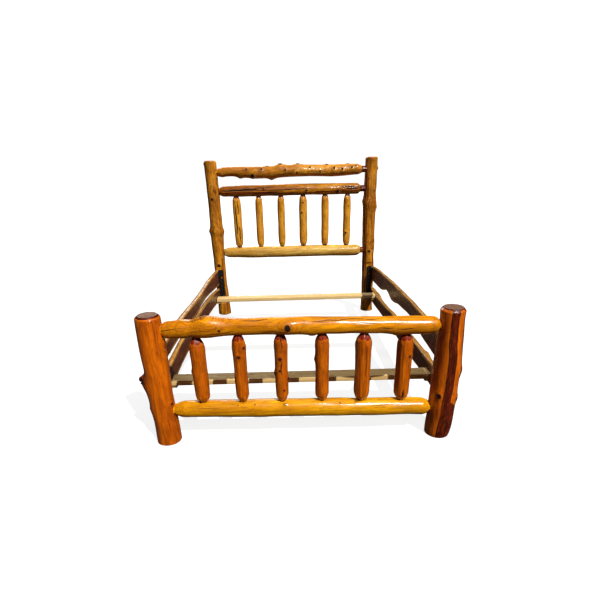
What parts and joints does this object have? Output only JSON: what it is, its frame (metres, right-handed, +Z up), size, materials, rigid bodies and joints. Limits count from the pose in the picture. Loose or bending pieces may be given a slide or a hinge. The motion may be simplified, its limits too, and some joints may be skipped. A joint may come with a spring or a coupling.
{
  "type": "rustic log bed frame",
  "caption": "Peeled-log bed frame: tall spindled headboard, low spindled footboard, paired live-edge side boards on keyhole brackets, and loose cross slats.",
  "frame": {"origin": "on the floor, at the centre of the frame's footprint", "axes": "+X across the bed, to the right seen from the foot; +Y along the bed, from the foot to the head; +Z up"},
  "size_m": [1.6845, 2.3553, 1.469],
  "materials": {
    "honey_log": "peeled and varnished softwood log, golden honey, glossy",
    "amber_log": "peeled and varnished softwood log, deep amber with red heartwood, glossy",
    "live_edge_slab": "varnished heartwood slab with a tan waney edge",
    "pale_pine": "planed unfinished pine",
    "black_steel": "satin black",
    "steel_fastener": "black-finished steel bolts and screws"
  },
  "bodies": {
    "frame": {"foot_bolts_left": "steel_fastener", "foot_bolts_right": "steel_fastener", "foot_bottom_rail": "amber_log", "foot_post_left": "amber_log", "foot_post_right": "amber_log", "foot_spindle_1": "amber_log", "foot_spindle_2": "amber_log", "foot_spindle_3": "amber_log", "foot_spindle_4": "amber_log", "foot_spindle_5": "amber_log", "foot_spindle_6": "amber_log", "foot_top_rail": "amber_log", "head_bolts_left": "steel_fastener", "head_bolts_right": "steel_fastener", "head_lower_rail": "honey_log", "head_post_left": "honey_log", "head_post_right": "honey_log", "head_spindle_1": "honey_log", "head_spindle_2": "honey_log", "head_spindle_3": "honey_log", "head_spindle_4": "honey_log", "head_spindle_5": "honey_log", "head_spindle_6": "honey_log", "head_top_rail": "honey_log", "head_upper_rail": "honey_log"},
    "left_side": {"block_screws_left": "steel_fastener", "foot_bracket_left": "black_steel", "foot_bracket_screws_left": "steel_fastener", "head_bracket_left": "black_steel", "head_bracket_screws_left": "steel_fastener", "slat_block_foot_left": "pale_pine", "slat_block_head_left": "pale_pine", "slat_block_middle_left": "pale_pine", "left_upper_board": "live_edge_slab", "left_lower_board": "live_edge_slab"},
    "right_side": {"block_screws_right": "steel_fastener", "foot_bracket_right": "black_steel", "foot_bracket_screws_right": "steel_fastener", "head_bracket_right": "black_steel", "head_bracket_screws_right": "steel_fastener", "slat_block_foot_right": "pale_pine", "slat_block_head_right": "pale_pine", "slat_block_middle_right": "pale_pine", "right_upper_board": "live_edge_slab", "right_lower_board": "live_edge_slab"},
    "slat_foot": {"slat_foot": "pale_pine"},
    "slat_middle": {"slat_middle": "pale_pine"},
    "slat_head": {"slat_head": "pale_pine"}
  },
  "joints": [
    {"name": "left_side_lift", "type": "slide", "parent": "frame", "child": "left_side", "axis": [0, 0, 1], "range_m": [0, 0.018]},
    {"name": "right_side_lift", "type": "slide", "parent": "frame", "child": "right_side", "axis": [0, 0, 1], "range_m": [0, 0.018]},
    {"name": "slat_foot_lift", "type": "slide", "parent": "left_side", "child": "slat_foot", "axis": [0, 0, 1], "range_m": [0, 0.33]},
    {"name": "slat_middle_lift", "type": "slide", "parent": "left_side", "child": "slat_middle", "axis": [0, 0, 1], "range_m": [0, 0.33]},
    {"name": "slat_head_lift", "type": "slide", "parent": "left_side", "child": "slat_head", "axis": [0, 0, 1], "range_m": [0, 0.33]}
  ],
  "couplings": [
    {"joint": "right_side_lift", "follows": "left_side_lift", "ratio": 1}
  ]
}
